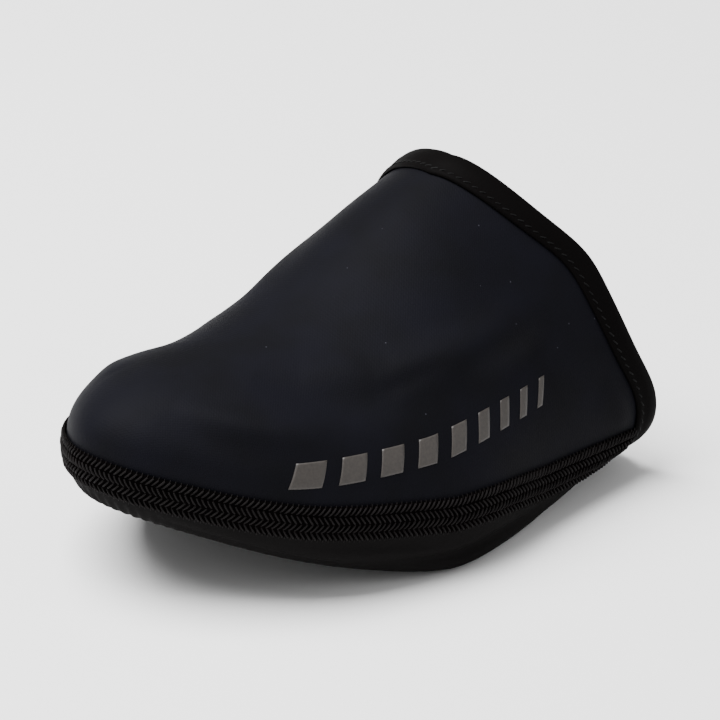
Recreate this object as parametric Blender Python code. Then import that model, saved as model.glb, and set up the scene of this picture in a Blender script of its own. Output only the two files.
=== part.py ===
"""Cycling toe cover for the left foot: a stretch shell pulled over the front of a road shoe.

The shell is worked out in the last's own frame, in millimetres: x runs back from the toe tip,
y runs to the big-toe side and z runs up from the floor. One surface carries every piece. It is
divided into columns, which run from the ridge on top down over the wall to the underside, and
each piece is a patch of that surface, thickened outward and inward by its own sizes.
"""

from collections import namedtuple
import math

import bpy
import numpy as np

MM = 0.001

# Sizes of the last
COVER_LENGTH = 150.0       # toe tip to the foot of the collar, little-toe side
MEDIAL_LENGTH = 136.0      # toe tip to the foot of the collar, big-toe side
TOP_LENGTH = 123.5         # toe tip to the top of the collar
BALL_WIDTH = 95.0
TOE_HEIGHT = 51.0          # top line over the toe tip
INSTEP_HEIGHT = 80.5       # top line at the collar
TOE_SPRING = 24.5
FLAT_FRONT = 74.0          # the underside lies on the floor from here
FLAT_REAR = 107.0          # to here
ARCH_RISE = 4.7            # underside at the end of the cover
RAND_HEIGHT = 13.6         # widest line above the underside
TOE_ROUND = 8.0            # underside edge inside the widest line, at the toe and ball
ARCH_ROUND = 16.5          # the same under the arch

# Walls, tapes and the opening for the cleat
UPPER_WALL = 2.8
SOLE_WALL = 1.8
GAP = 0.3
SEAM_WIDTH = 9.0
SEAM_THICKNESS = 0.9
SEAM_EDGE = 0.6            # share of that thickness at the seam's two edges
SEAM_END_GAP = 0.6         # seam to binding
BINDING_WIDTH = 6.5
BINDING_THICKNESS = 0.9
BINDING_NOSE = 1.0         # how far the tape's fold stands off the shell's edge
NOSE_TURN = 55.0           # degrees from the fold's middle to its shoulders
OPENING_LENGTH = 56.0
OPENING_WIDTH = 50.0
OPENING_START = 58.0       # toe tip to the opening
OPENING_OFFSET = -4.0      # its middle lies to the little-toe side
HEM_WIDTH = 6.0
HEM_THICKNESS = 0.9

# Half widths as shares of BALL_WIDTH, at shares of COVER_LENGTH behind the toe tip
Outline = namedtuple("Outline", "behind_toe lateral medial")
OUTLINE = [
    Outline(0.026, 0.140, 0.125),
    Outline(0.092, 0.257, 0.254),
    Outline(0.211, 0.408, 0.373),
    Outline(0.382, 0.504, 0.437),
    Outline(0.553, 0.542, 0.458),
    Outline(0.711, 0.506, 0.442),
    Outline(0.855, 0.480, 0.438),
    Outline(1.000, 0.462, 0.405),
]

# Rise of the top line from TOE_HEIGHT towards INSTEP_HEIGHT
TopLine = namedtuple("TopLine", "behind_toe rise")
TOP_LINE = [
    TopLine(0.000, 0.00),
    TopLine(0.197, 0.08),
    TopLine(0.395, 0.14),
    TopLine(0.592, 0.54),
    TopLine(0.700, 0.80),
    TopLine(0.795, 0.96),
    TopLine(1.000, 1.42),
]

# Form of a cross section: how far the crown runs level, where the shoulder lies and how far the
# wall stands up, as shares of the half width and of the height over the widest line
Section = namedtuple("Section", "along crown_reach shoulder_out shoulder_up wall_rise")
LATERAL_SECTIONS = [
    Section(0.0, 0.46, 0.87, 0.82, 0.48),
    Section(0.6, 0.42, 0.78, 0.74, 0.41),
    Section(1.0, 0.19, 0.68, 0.68, 0.23),
]
MEDIAL_SECTIONS = [
    Section(0.0, 0.46, 0.87, 0.82, 0.48),
    Section(0.6, 0.42, 0.78, 0.77, 0.42),
    Section(1.0, 0.28, 0.88, 0.78, 0.58),
]

# The seam below the widest line, as shares of RAND_HEIGHT
SeamPath = namedtuple("SeamPath", "behind_toe lateral medial")
SEAM_PATH = [
    SeamPath(0.00, 0.33, 0.33),
    SeamPath(0.23, 0.07, -0.04),
    SeamPath(0.46, -0.26, -0.44),
    SeamPath(0.69, -0.02, -0.22),
    SeamPath(0.89, 0.38, 0.18),
    SeamPath(1.00, 0.62, 0.40),
]

# The collar's line before or behind its smooth curve, as shares of COVER_LENGTH. It is stretched
# straight between corners: down is 0 at the ridge, 1 at the seam and 2 at the underside.
CollarLine = namedtuple("CollarLine", "down lateral medial")
COLLAR_LINE = [
    CollarLine(0.00, 0.0000, 0.0000),
    CollarLine(0.12, -0.0095, 0.0000),
    CollarLine(0.22, -0.0130, 0.0000),
    CollarLine(0.32, -0.0080, 0.0000),
    CollarLine(0.44, 0.0045, 0.0000),
    CollarLine(0.54, -0.0025, 0.0000),
    CollarLine(0.66, -0.0100, 0.0000),
    CollarLine(0.76, -0.0065, 0.0000),
    CollarLine(0.88, 0.0085, 0.0000),
    CollarLine(1.00, 0.0020, 0.0000),
    CollarLine(1.40, 0.0000, 0.0000),
    CollarLine(2.00, 0.0000, 0.0000),
]
COLLAR_START = 0.78        # share of the length from which the wall follows the collar's line
COLLAR_FULL = 0.95         # and from which it follows in full

# Plan of the columns and of the middle line, as shares of COVER_LENGTH
RIDGE_START = 0.166
RIDGE_GATHER = 1.86        # power that gathers the columns' tops behind the toe
TOE_FAN = 0.171            # radius over which the columns' feet fan round the toe
TOE_OFFSET = 0.036         # the toe tip lies to the big-toe side
TOE_OFFSET_END = 0.625
RIDGE_OFFSET = 0.028       # the ridge at the collar lies to the big-toe side
ARCH_START = 0.625
LATERAL_BOW = 1.11         # power that bows the columns back over the wall
MEDIAL_BOW = 1.45
TOE_CORNER = 3.4           # powers of the rounded edge between wall and underside
ARCH_CORNER = 2.1
SPRING_POWER = 1.3
ARCH_POWER = 1.2
OPENING_CORNER = 3.0

# Divisions of the surface
COLUMNS = 22               # toe tip to the binding, on each side
CROWN_ROWS = 14
RAND_ROWS = 7
ARCH_POINTS = 10
RADIAL_SHARES = (0.3, 0.65)
PROFILE_POINTS = 120


def smooth_curve(stations, values):
    """Natural cubic spline through the values, returned as a function."""
    xs = np.asarray(stations, dtype=float)
    ys = np.asarray(values, dtype=float)
    steps = np.diff(xs)
    slopes = np.diff(ys) / steps
    count = len(xs)
    matrix = np.eye(count)
    right = np.zeros(count)
    for i in range(1, count - 1):
        matrix[i, i - 1] = steps[i - 1]
        matrix[i, i] = 2.0 * (steps[i - 1] + steps[i])
        matrix[i, i + 1] = steps[i]
        right[i] = 6.0 * (slopes[i] - slopes[i - 1])
    bends = np.linalg.solve(matrix, right)

    def value(at):
        at = np.asarray(at, dtype=float)
        i = np.clip(np.searchsorted(xs, at) - 1, 0, count - 2)
        after = at - xs[i]
        before = xs[i + 1] - at
        width = steps[i]
        curved = (bends[i] * before**3 + bends[i + 1] * after**3) / (6.0 * width)
        start = (ys[i] / width - bends[i] * width / 6.0) * before
        end = (ys[i + 1] / width - bends[i + 1] * width / 6.0) * after
        return curved + start + end

    return value


def smooth_step(value):
    value = np.clip(value, 0.0, 1.0)
    return value * value * (3.0 - 2.0 * value)


def half_width_curve(column):
    """Half width over the square root of the distance behind the toe, which rounds the toe."""
    stations = [0.0] + [math.sqrt(row.behind_toe) for row in OUTLINE]
    widths = [0.0] + [getattr(row, column) * BALL_WIDTH for row in OUTLINE]
    return smooth_curve(stations, widths)


def seam_curve(column):
    stations = [row.behind_toe * COVER_LENGTH for row in SEAM_PATH]
    drops = [getattr(row, column) * RAND_HEIGHT for row in SEAM_PATH]
    return smooth_curve(stations, drops)


def collar_curve(column):
    shifts = [getattr(row, column) * COVER_LENGTH for row in COLLAR_LINE]
    return smooth_curve([row.down for row in COLLAR_LINE], shifts)


def section_curves(rows):
    stations = [row.along for row in rows]
    return {name: smooth_curve(stations, [getattr(row, name) for row in rows])
            for name in Section._fields[1:]}


top_stations = [row.behind_toe * COVER_LENGTH for row in TOP_LINE]
top_heights = [TOE_HEIGHT + row.rise * (INSTEP_HEIGHT - TOE_HEIGHT) for row in TOP_LINE]
top_line = smooth_curve(top_stations, top_heights)

Side = namedtuple("Side", "sign length bow half_width seam_drop collar_shift sections")
LATERAL = Side(-1.0, COVER_LENGTH, LATERAL_BOW, half_width_curve("lateral"),
               seam_curve("lateral"), collar_curve("lateral"), section_curves(LATERAL_SECTIONS))
MEDIAL = Side(1.0, MEDIAL_LENGTH, MEDIAL_BOW, half_width_curve("medial"),
              seam_curve("medial"), collar_curve("medial"), section_curves(MEDIAL_SECTIONS))


def underside(x):
    """Height of the underside: toe spring, a flat spot on the floor and the rise to the arch."""
    front = np.clip(1.0 - x / FLAT_FRONT, 0.0, None)
    rear = np.clip((x - FLAT_REAR) / (COVER_LENGTH - FLAT_REAR), 0.0, None)
    return TOE_SPRING * front**SPRING_POWER + ARCH_RISE * rear**ARCH_POWER


def middle_line(x):
    return TOE_OFFSET * COVER_LENGTH * np.clip(1.0 - x / (TOE_OFFSET_END * COVER_LENGTH), 0.0, 1.0)**2


def ridge_line(x):
    share = (x / COVER_LENGTH - RIDGE_START) / (TOP_LENGTH / COVER_LENGTH - RIDGE_START)
    return middle_line(x) + RIDGE_OFFSET * COVER_LENGTH * smooth_step(share)


def quartic(t, a, b, c, d, e):
    s = 1.0 - t
    return s**4 * a + 4 * s**3 * t * b + 6 * s**2 * t**2 * c + 4 * s * t**3 * d + t**4 * e


def column_profile(side, along):
    """One column as a fine polyline, with its running lengths and the one at the seam's middle."""
    fan = TOE_FAN * COVER_LENGTH
    reach = math.sqrt((side.length + fan)**2 - fan**2)
    foot_x = math.sqrt((along * reach)**2 + fan**2) - fan
    ridge_start = RIDGE_START * COVER_LENGTH
    ridge_x = ridge_start + (TOP_LENGTH - ridge_start) * along**RIDGE_GATHER
    ridge_y = float(ridge_line(ridge_x))
    half_width = float(side.half_width(math.sqrt(foot_x / COVER_LENGTH)))
    foot_y = float(middle_line(foot_x)) + side.sign * half_width
    foot_z = float(underside(foot_x)) + RAND_HEIGHT

    form = {name: float(curve(along)) for name, curve in side.sections.items()}
    t = np.linspace(0.0, 1.0, PROFILE_POINTS)
    out = quartic(t, 0.0, form["crown_reach"], form["shoulder_out"], 1.0, 1.0)
    up = quartic(t, 1.0, 1.0, form["shoulder_up"], form["wall_rise"], 0.0)
    x = ridge_x + (foot_x - ridge_x) * out**(1.0 + (side.bow - 1.0) * along)
    y = ridge_y + (foot_y - ridge_y) * out
    wall = np.stack([x, y, foot_z + (top_line(x) - foot_z) * up], axis=1)

    arch = float(smooth_step((foot_x / COVER_LENGTH - ARCH_START) / (1.0 - ARCH_START)))
    power = TOE_CORNER + (ARCH_CORNER - TOE_CORNER) * arch
    inset = TOE_ROUND + (ARCH_ROUND - TOE_ROUND) * arch
    inward = np.array([(ridge_x - foot_x) * (1.0 - arch), ridge_y - foot_y])
    inward /= np.hypot(ridge_x - foot_x, ridge_y - foot_y)
    inward /= np.linalg.norm(inward)
    turn = np.linspace(0.0, math.pi / 2, PROFILE_POINTS // 2)[1:]
    inside = inset * (1.0 - np.abs(np.cos(turn))**(2.0 / power))
    drop = np.sin(turn)**(2.0 / power)
    x = foot_x + inward[0] * inside
    y = foot_y + inward[1] * inside
    rand = np.stack([x, y, foot_z - (foot_z - underside(x)) * drop], axis=1)

    points = np.concatenate([wall, rand])
    runs = np.concatenate([[0.0], np.cumsum(np.linalg.norm(np.diff(points, axis=0), axis=1))])
    seam = runs[len(wall) - 1] + float(side.seam_drop(foot_x))
    down = np.where(runs < seam, runs / seam, 1.0 + (runs - seam) / (runs[-1] - seam))
    follow = smooth_step((along - COLLAR_START) / (COLLAR_FULL - COLLAR_START))
    points[:, 0] += side.collar_shift(down) * follow
    return points, runs, seam


def column_points(side, along):
    """Points down a column at the rows: crown and wall, the two edges of the seam, the rand."""
    points, runs, seam = column_profile(side, along)
    half = SEAM_WIDTH / 2.0
    crown = np.linspace(0.0, seam - half, CROWN_ROWS + 1)
    band = seam + np.array([-half / 2.0, -GAP / 2.0, GAP / 2.0, half / 2.0])
    rand = np.linspace(seam + half, runs[-1], RAND_ROWS + 1)
    at = np.concatenate([crown, band, rand])
    return np.stack([np.interp(at, runs, points[:, axis]) for axis in range(3)], axis=1)


UPPER_LAST_ROW = CROWN_ROWS + 2
SOLE_FIRST_ROW = CROWN_ROWS + 3
BAND_FIRST_ROW = CROWN_ROWS
BAND_LAST_ROW = CROWN_ROWS + 5
LAST_ROW = CROWN_ROWS + 5 + RAND_ROWS


def column_shares():
    """Shares along the cover, toe tip to collar; the last ones edge the seam's end and binding."""
    fan = TOE_FAN * COVER_LENGTH
    pace = ((COVER_LENGTH + fan)**2 - fan**2) / (COVER_LENGTH + fan)
    binding = 1.0 - BINDING_WIDTH / pace
    seam_end = binding - SEAM_END_GAP / pace
    middle = 1.0 - BINDING_WIDTH / 2.0 / pace
    return list(np.linspace(0.0, seam_end, COLUMNS + 1)) + [binding, middle, 1.0]


SHARES = column_shares()
SEAM_END_COLUMN = COLUMNS
BINDING_COLUMN = COLUMNS + 1
EDGE_COLUMN = COLUMNS + 3


class Surface:
    """Grid of the outer surface: shared points, their normals and the number of each point."""

    def __init__(self):
        self.points = []
        self.quads = []
        self.number = self.wall_grid()
        self.under = self.arch_rows()
        self.rings = self.sole_rings()
        self.points = np.array(self.points)
        wall = self.patch(0, LAST_ROW, 0, EDGE_COLUMN)
        self.normals = self.point_normals(wall + self.arch_quads(0) + self.ring_quads())

    def add(self, point):
        self.points.append(np.asarray(point, dtype=float))
        return len(self.points) - 1

    def wall_grid(self):
        """Rows down from the ridge by signed columns: little-toe side, toe tip, big-toe side."""
        columns = [column_points(LATERAL, along) for along in reversed(SHARES)]
        columns += [column_points(MEDIAL, along) for along in SHARES[1:]]
        number = np.zeros((LAST_ROW + 1, len(columns)), dtype=int)
        for c, column in enumerate(columns):
            mirrored = len(columns) - 1 - c
            for r, point in enumerate(column):
                shared = r == 0 and mirrored < c
                number[r, c] = number[0, mirrored] if shared else self.add(point)
        return number

    def arch_rows(self):
        """Points across the underside between both sides, for each column of the binding."""
        rows = []
        for k in range(BINDING_COLUMN, EDGE_COLUMN + 1):
            first = self.number[-1, EDGE_COLUMN - k]
            last = self.number[-1, EDGE_COLUMN + k]
            row = [first]
            for share in np.linspace(0.0, 1.0, ARCH_POINTS + 2)[1:-1]:
                x, y, z = self.points[first] + (self.points[last] - self.points[first]) * share
                row.append(self.add((x, y, underside(x))))
            rows.append(row + [last])
        return rows

    def sole_rings(self):
        """Rings from the rand and the binding inward to the edge of the cleat opening."""
        outer = list(self.number[-1, EDGE_COLUMN - BINDING_COLUMN:EDGE_COLUMN + BINDING_COLUMN + 1])
        outer += self.under[0][-2:0:-1]
        centre = np.array([OPENING_START + OPENING_LENGTH / 2.0, OPENING_OFFSET])
        rings = [outer] + [[] for _ in range(len(RADIAL_SHARES) + 3)]
        for start in outer:
            plan = self.points[start][:2] - centre
            distance = np.linalg.norm(plan)
            towards = plan / distance
            opening = self.opening_radius(towards, 0.0)
            hem = self.opening_radius(towards, HEM_WIDTH)
            stops = [distance + (hem - distance) * share for share in RADIAL_SHARES]
            stops += [hem + GAP, hem, opening]
            for ring, stop in zip(rings[1:], stops):
                x, y = centre + towards * stop
                ring.append(self.add((x, y, underside(x))))
        return rings

    def opening_radius(self, towards, margin):
        """Distance from the middle of the rounded opening to its edge in one direction."""
        across = abs(towards[0]) / (OPENING_LENGTH / 2.0 + margin)
        beside = abs(towards[1]) / (OPENING_WIDTH / 2.0 + margin)
        return (across**OPENING_CORNER + beside**OPENING_CORNER)**(-1.0 / OPENING_CORNER)

    def patch(self, first_row, last_row, first_column, last_column):
        """Quads of the wall between two rows, and between two columns on both sides."""
        quads = []
        for r in range(first_row, last_row):
            for c in range(2 * EDGE_COLUMN):
                near = min(abs(c - EDGE_COLUMN), abs(c + 1 - EDGE_COLUMN))
                far = max(abs(c - EDGE_COLUMN), abs(c + 1 - EDGE_COLUMN))
                if near >= first_column and far <= last_column:
                    block = self.number[r:r + 2, c:c + 2]
                    quads.append((block[0, 0], block[0, 1], block[1, 1], block[1, 0]))
        return quads

    def arch_quads(self, first):
        return [quad for a, b in zip(self.under[first:], self.under[first + 1:])
                for quad in strip(a, b)]

    def ring_quads(self):
        quads = []
        for outer, inner in zip(self.rings, self.rings[1:]):
            quads += strip(outer + outer[:1], inner + inner[:1])
        return quads

    def point_normals(self, quads):
        """Unit normals, summed over the quads round each point and shared across the joint."""
        normals = np.zeros_like(self.points)
        for quad in quads:
            a, b, c, d = self.points[list(quad)]
            for point in quad:
                normals[point] += np.cross(c - a, d - b)
        above, below = self.number[UPPER_LAST_ROW], self.number[SOLE_FIRST_ROW]
        normals[above] = normals[below] = normals[above] + normals[below]
        return normals / np.linalg.norm(normals, axis=1, keepdims=True)


def strip(one, other):
    return [(one[i], one[i + 1], other[i + 1], other[i]) for i in range(len(one) - 1)]


def thicken(surface, quads, outside, inside):
    """Closed solid over a patch: outer skin, inner skin and the rim along the open edges."""
    used = sorted({point for quad in quads for point in quad})
    place = {point: i for i, point in enumerate(used)}
    points = surface.points[used]
    normals = surface.normals[used]
    outside = np.array([outside(point) for point in used])[:, None]
    inside = np.array([inside(point) for point in used])[:, None]
    vertices = np.concatenate([points + normals * outside, points - normals * inside])
    depth = len(used)
    skin = []
    for quad in quads:
        a, b, c, d = (place[point] for point in quad)
        skin += [(a, b, c), (a, c, d)]
    edges = {(face[i], face[(i + 1) % 3]) for face in skin for i in range(3)}
    faces = list(skin)
    faces += [tuple(point + depth for point in reversed(face)) for face in skin]
    faces += [(b, a, a + depth, b + depth) for a, b in edges if (b, a) not in edges]
    return vertices, faces


def upper(surface):
    quads = surface.patch(0, UPPER_LAST_ROW, 0, EDGE_COLUMN)
    return thicken(surface, quads, lambda point: 0.0, lambda point: UPPER_WALL)


def sole_panel(surface):
    """Rand and underside in one, thicker by a turned hem round the cleat opening."""
    hem = set(surface.rings[-1]) | set(surface.rings[-2])
    quads = surface.patch(SOLE_FIRST_ROW, LAST_ROW, 0, EDGE_COLUMN)
    quads += surface.arch_quads(0) + surface.ring_quads()

    def wall(point):
        return SOLE_WALL + HEM_THICKNESS if point in hem else SOLE_WALL

    return thicken(surface, quads, lambda point: 0.0, wall)


def flatlock_seam(surface):
    """Low band of thread over the joint of upper and sole, a little domed across its width."""
    edges = set(surface.number[BAND_FIRST_ROW]) | set(surface.number[BAND_LAST_ROW])
    quads = surface.patch(BAND_FIRST_ROW, BAND_LAST_ROW, 0, SEAM_END_COLUMN)

    def height(point):
        return GAP + SEAM_THICKNESS * (SEAM_EDGE if point in edges else 1.0)

    return thicken(surface, quads, height, lambda point: -GAP)


def binding_stations(surface):
    """Points round the collar in order, each with the points behind it and the wall it clasps."""
    number = surface.number
    columns = range(BINDING_COLUMN, EDGE_COLUMN + 1)
    lateral = [[number[r, EDGE_COLUMN - k] for k in columns] for r in range(LAST_ROW + 1)]
    arch = [[row[i] for row in surface.under] for i in range(1, ARCH_POINTS + 1)]
    medial = [[number[r, EDGE_COLUMN + k] for k in columns] for r in range(LAST_ROW, 0, -1)]
    walls = [UPPER_WALL if r <= BAND_LAST_ROW else SOLE_WALL for r in range(LAST_ROW + 1)]
    walls = walls + [SOLE_WALL] * ARCH_POINTS + walls[:0:-1]
    return list(zip(lateral + arch + medial, walls))


def collar_binding(surface):
    """Tape folded over the collar's edge, swept round the whole opening as a closed loop."""
    vertices = []
    nose_turns = np.radians([NOSE_TURN, 0.0, -NOSE_TURN])
    for station, wall in binding_stations(surface):
        points = surface.points[station]
        normals = surface.normals[station]
        edge, normal = points[-1], normals[-1]
        ahead = edge - points[-2]
        ahead -= normal * np.dot(ahead, normal)
        ahead /= np.linalg.norm(ahead)
        middle = edge - normal * wall / 2.0
        for grow in (GAP + BINDING_THICKNESS, GAP):
            nose = BINDING_NOSE + grow - GAP
            loop = [point + side * grow for point, side in zip(points, normals)]
            half = wall / 2.0 + grow
            loop += [middle + ahead * nose * math.cos(turn) + normal * half * math.sin(turn)
                     for turn in nose_turns]
            loop += [point - side * (wall + grow)
                     for point, side in zip(points[::-1], normals[::-1])]
            vertices += loop if grow > GAP else loop[::-1]
    size = len(vertices) // len(binding_stations(surface))
    count = len(vertices) // size
    faces = []
    for s in range(count):
        following = (s + 1) % count
        for i in range(size):
            j = (i + 1) % size
            faces.append((s * size + i, following * size + i, following * size + j, s * size + j))
    return np.array(vertices), faces


Finish = namedtuple("Finish", "colour roughness")
PIECES = [
    ("upper", upper, Finish((0.012, 0.014, 0.022), 0.62)),
    ("sole_panel", sole_panel, Finish((0.010, 0.010, 0.011), 0.78)),
    ("flatlock_seam", flatlock_seam, Finish((0.016, 0.015, 0.015), 0.85)),
    ("collar_binding", collar_binding, Finish((0.007, 0.007, 0.008), 0.55)),
]
SHARP_ANGLE = math.radians(40.0)


def make_material(name, finish):
    material = bpy.data.materials.new(name)
    material.use_nodes = True
    shader = material.node_tree.nodes["Principled BSDF"]
    shader.inputs["Base Color"].default_value = (*finish.colour, 1.0)
    shader.inputs["Roughness"].default_value = finish.roughness
    shader.inputs["Metallic"].default_value = 0.0
    return material


def make_object(name, vertices, faces, finish, parent):
    mesh = bpy.data.meshes.new(name)
    mesh.from_pydata((vertices * MM).tolist(), [], faces)
    mesh.validate()
    mesh.shade_smooth()
    mesh.set_sharp_from_angle(angle=SHARP_ANGLE)
    mesh.materials.append(make_material(name, finish))
    piece = bpy.data.objects.new(name, mesh)
    piece.parent = parent
    bpy.context.scene.collection.objects.link(piece)
    return piece


def build():
    """Model every piece, with the floor under it and the middle of its plan at the origin."""
    for old in list(bpy.data.objects):
        bpy.data.objects.remove(old)
    surface = Surface()
    solids = [(name, *model(surface), finish) for name, model, finish in PIECES]
    everything = np.concatenate([vertices for _, vertices, _, _ in solids])
    low, high = everything.min(axis=0), everything.max(axis=0)
    origin = np.array([(low[0] + high[0]) / 2.0, (low[1] + high[1]) / 2.0, low[2]])
    cover = bpy.data.objects.new("toe_cover", None)
    bpy.context.scene.collection.objects.link(cover)
    for name, vertices, faces, finish in solids:
        make_object(name, vertices - origin, faces, finish, cover)


build()
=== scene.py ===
import math
from collections import namedtuple
from functools import lru_cache

import bpy
import numpy as np
from mathutils import Matrix, Vector


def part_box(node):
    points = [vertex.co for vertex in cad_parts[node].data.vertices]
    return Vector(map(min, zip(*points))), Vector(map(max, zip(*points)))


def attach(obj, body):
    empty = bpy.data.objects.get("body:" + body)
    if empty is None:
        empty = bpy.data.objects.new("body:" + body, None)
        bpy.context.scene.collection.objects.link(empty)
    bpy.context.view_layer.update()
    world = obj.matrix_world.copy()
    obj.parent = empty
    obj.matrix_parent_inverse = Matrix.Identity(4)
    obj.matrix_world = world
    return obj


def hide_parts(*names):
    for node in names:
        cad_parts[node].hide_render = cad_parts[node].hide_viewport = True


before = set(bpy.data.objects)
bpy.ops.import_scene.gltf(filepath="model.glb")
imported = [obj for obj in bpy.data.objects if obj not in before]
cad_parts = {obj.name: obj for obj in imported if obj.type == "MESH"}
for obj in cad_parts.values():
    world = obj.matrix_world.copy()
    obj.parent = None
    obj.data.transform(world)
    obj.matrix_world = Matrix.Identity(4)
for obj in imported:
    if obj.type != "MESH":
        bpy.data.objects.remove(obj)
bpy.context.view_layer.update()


# The upper: one panel of foam, faced with a fine stretch knit and backed with a brushed lining,
# lasted over toes, ball and instep. It is open at the collar and underneath, and it shows the
# soft ridges and hollows of a stretched shell.

# Sizes are millimetres in the last's own frame: x runs back from the toe tip, y to the big-toe
# side, z up from the floor.
COVER_LENGTH = 150.0
MEDIAL_LENGTH = 136.0
TOP_LENGTH = 123.5
BALL_WIDTH = 95.0
TOE_HEIGHT = 51.0
INSTEP_HEIGHT = 80.5
TOE_SPRING = 24.5
FLAT_FRONT = 74.0
FLAT_REAR = 107.0
ARCH_RISE = 4.7
RAND_HEIGHT = 13.6
TOE_ROUND = 8.0
ARCH_ROUND = 16.5
UPPER_WALL = 2.8
GAP = 0.3

Outline = namedtuple("Outline", "behind_toe lateral medial")
OUTLINE = [
    Outline(0.026, 0.140, 0.125),
    Outline(0.092, 0.257, 0.254),
    Outline(0.211, 0.408, 0.373),
    Outline(0.382, 0.504, 0.437),
    Outline(0.553, 0.542, 0.458),
    Outline(0.711, 0.506, 0.442),
    Outline(0.855, 0.480, 0.438),
    Outline(1.000, 0.462, 0.405),
]
TopLine = namedtuple("TopLine", "behind_toe rise")
TOP_LINE = [
    TopLine(0.000, 0.00),
    TopLine(0.197, 0.08),
    TopLine(0.395, 0.14),
    TopLine(0.592, 0.54),
    TopLine(0.700, 0.80),
    TopLine(0.795, 0.96),
    TopLine(1.000, 1.42),
]
Section = namedtuple("Section", "along crown_reach shoulder_out shoulder_up wall_rise")
LATERAL_SECTIONS = [
    Section(0.0, 0.46, 0.87, 0.82, 0.48),
    Section(0.6, 0.42, 0.78, 0.74, 0.41),
    Section(1.0, 0.19, 0.68, 0.68, 0.23),
]
MEDIAL_SECTIONS = [
    Section(0.0, 0.46, 0.87, 0.82, 0.48),
    Section(0.6, 0.42, 0.78, 0.77, 0.42),
    Section(1.0, 0.28, 0.88, 0.78, 0.58),
]
SeamPath = namedtuple("SeamPath", "behind_toe lateral medial")
SEAM_PATH = [
    SeamPath(0.00, 0.33, 0.33),
    SeamPath(0.23, 0.07, -0.04),
    SeamPath(0.46, -0.26, -0.44),
    SeamPath(0.69, -0.02, -0.22),
    SeamPath(0.89, 0.38, 0.18),
    SeamPath(1.00, 0.62, 0.40),
]
# The collar's edge: shares of the length that it stands back, at shares down the shoe.
CollarLine = namedtuple("CollarLine", "down lateral medial")
COLLAR_LINE = [
    CollarLine(0.00, 0.0000, 0.0000),
    CollarLine(0.12, -0.0095, 0.0000),
    CollarLine(0.22, -0.0130, 0.0000),
    CollarLine(0.32, -0.0080, 0.0000),
    CollarLine(0.44, 0.0045, 0.0000),
    CollarLine(0.54, -0.0025, 0.0000),
    CollarLine(0.66, -0.0100, 0.0000),
    CollarLine(0.76, -0.0065, 0.0000),
    CollarLine(0.88, 0.0085, 0.0000),
    CollarLine(1.00, 0.0020, 0.0000),
    CollarLine(1.40, 0.0000, 0.0000),
    CollarLine(2.00, 0.0000, 0.0000),
]
COLLAR_START = 0.78
COLLAR_FULL = 0.95
RIDGE_START = 0.166
RIDGE_GATHER = 1.86
TOE_FAN = 0.171
TOE_OFFSET = 0.036
TOE_OFFSET_END = 0.625
RIDGE_OFFSET = 0.028
ARCH_START = 0.625
LATERAL_BOW = 1.11
MEDIAL_BOW = 1.45
TOE_CORNER = 3.4
ARCH_CORNER = 2.1
SPRING_POWER = 1.3
ARCH_POWER = 1.2
PROFILE_POINTS = 160


def smooth_curve(stations, values):
    """Natural cubic spline through the values, returned as a function."""
    xs = np.asarray(stations, dtype=float)
    ys = np.asarray(values, dtype=float)
    steps = np.diff(xs)
    slopes = np.diff(ys) / steps
    count = len(xs)
    matrix = np.eye(count)
    right = np.zeros(count)
    for i in range(1, count - 1):
        matrix[i, i - 1] = steps[i - 1]
        matrix[i, i] = 2.0 * (steps[i - 1] + steps[i])
        matrix[i, i + 1] = steps[i]
        right[i] = 6.0 * (slopes[i] - slopes[i - 1])
    bends = np.linalg.solve(matrix, right)

    def value(at):
        at = np.asarray(at, dtype=float)
        i = np.clip(np.searchsorted(xs, at) - 1, 0, count - 2)
        after = at - xs[i]
        before = xs[i + 1] - at
        width = steps[i]
        curved = (bends[i] * before**3 + bends[i + 1] * after**3) / (6.0 * width)
        start = (ys[i] / width - bends[i] * width / 6.0) * before
        end = (ys[i + 1] / width - bends[i + 1] * width / 6.0) * after
        return curved + start + end

    return value


def smooth_step(value):
    value = np.clip(value, 0.0, 1.0)
    return value * value * (3.0 - 2.0 * value)


def half_width_curve(column):
    """Half width over the square root of the distance behind the toe, which rounds the toe."""
    stations = [0.0] + [math.sqrt(row.behind_toe) for row in OUTLINE]
    widths = [0.0] + [getattr(row, column) * BALL_WIDTH for row in OUTLINE]
    return smooth_curve(stations, widths)


def seam_curve(column):
    stations = [row.behind_toe * COVER_LENGTH for row in SEAM_PATH]
    drops = [getattr(row, column) * RAND_HEIGHT for row in SEAM_PATH]
    return smooth_curve(stations, drops)


def collar_curve(column):
    shifts = [getattr(row, column) * COVER_LENGTH for row in COLLAR_LINE]
    return smooth_curve([row.down for row in COLLAR_LINE], shifts)


def section_curves(rows):
    stations = [row.along for row in rows]
    return {name: smooth_curve(stations, [getattr(row, name) for row in rows])
            for name in Section._fields[1:]}


top_stations = [row.behind_toe * COVER_LENGTH for row in TOP_LINE]
top_heights = [TOE_HEIGHT + row.rise * (INSTEP_HEIGHT - TOE_HEIGHT) for row in TOP_LINE]
top_line = smooth_curve(top_stations, top_heights)
Side = namedtuple("Side", "sign length bow half_width seam_drop collar_shift sections")
LATERAL = Side(-1.0, COVER_LENGTH, LATERAL_BOW, half_width_curve("lateral"),
               seam_curve("lateral"), collar_curve("lateral"), section_curves(LATERAL_SECTIONS))
MEDIAL = Side(1.0, MEDIAL_LENGTH, MEDIAL_BOW, half_width_curve("medial"),
              seam_curve("medial"), collar_curve("medial"), section_curves(MEDIAL_SECTIONS))


def underside(x):
    front = np.clip(1.0 - x / FLAT_FRONT, 0.0, None)
    rear = np.clip((x - FLAT_REAR) / (COVER_LENGTH - FLAT_REAR), 0.0, None)
    return TOE_SPRING * front**SPRING_POWER + ARCH_RISE * rear**ARCH_POWER


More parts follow.
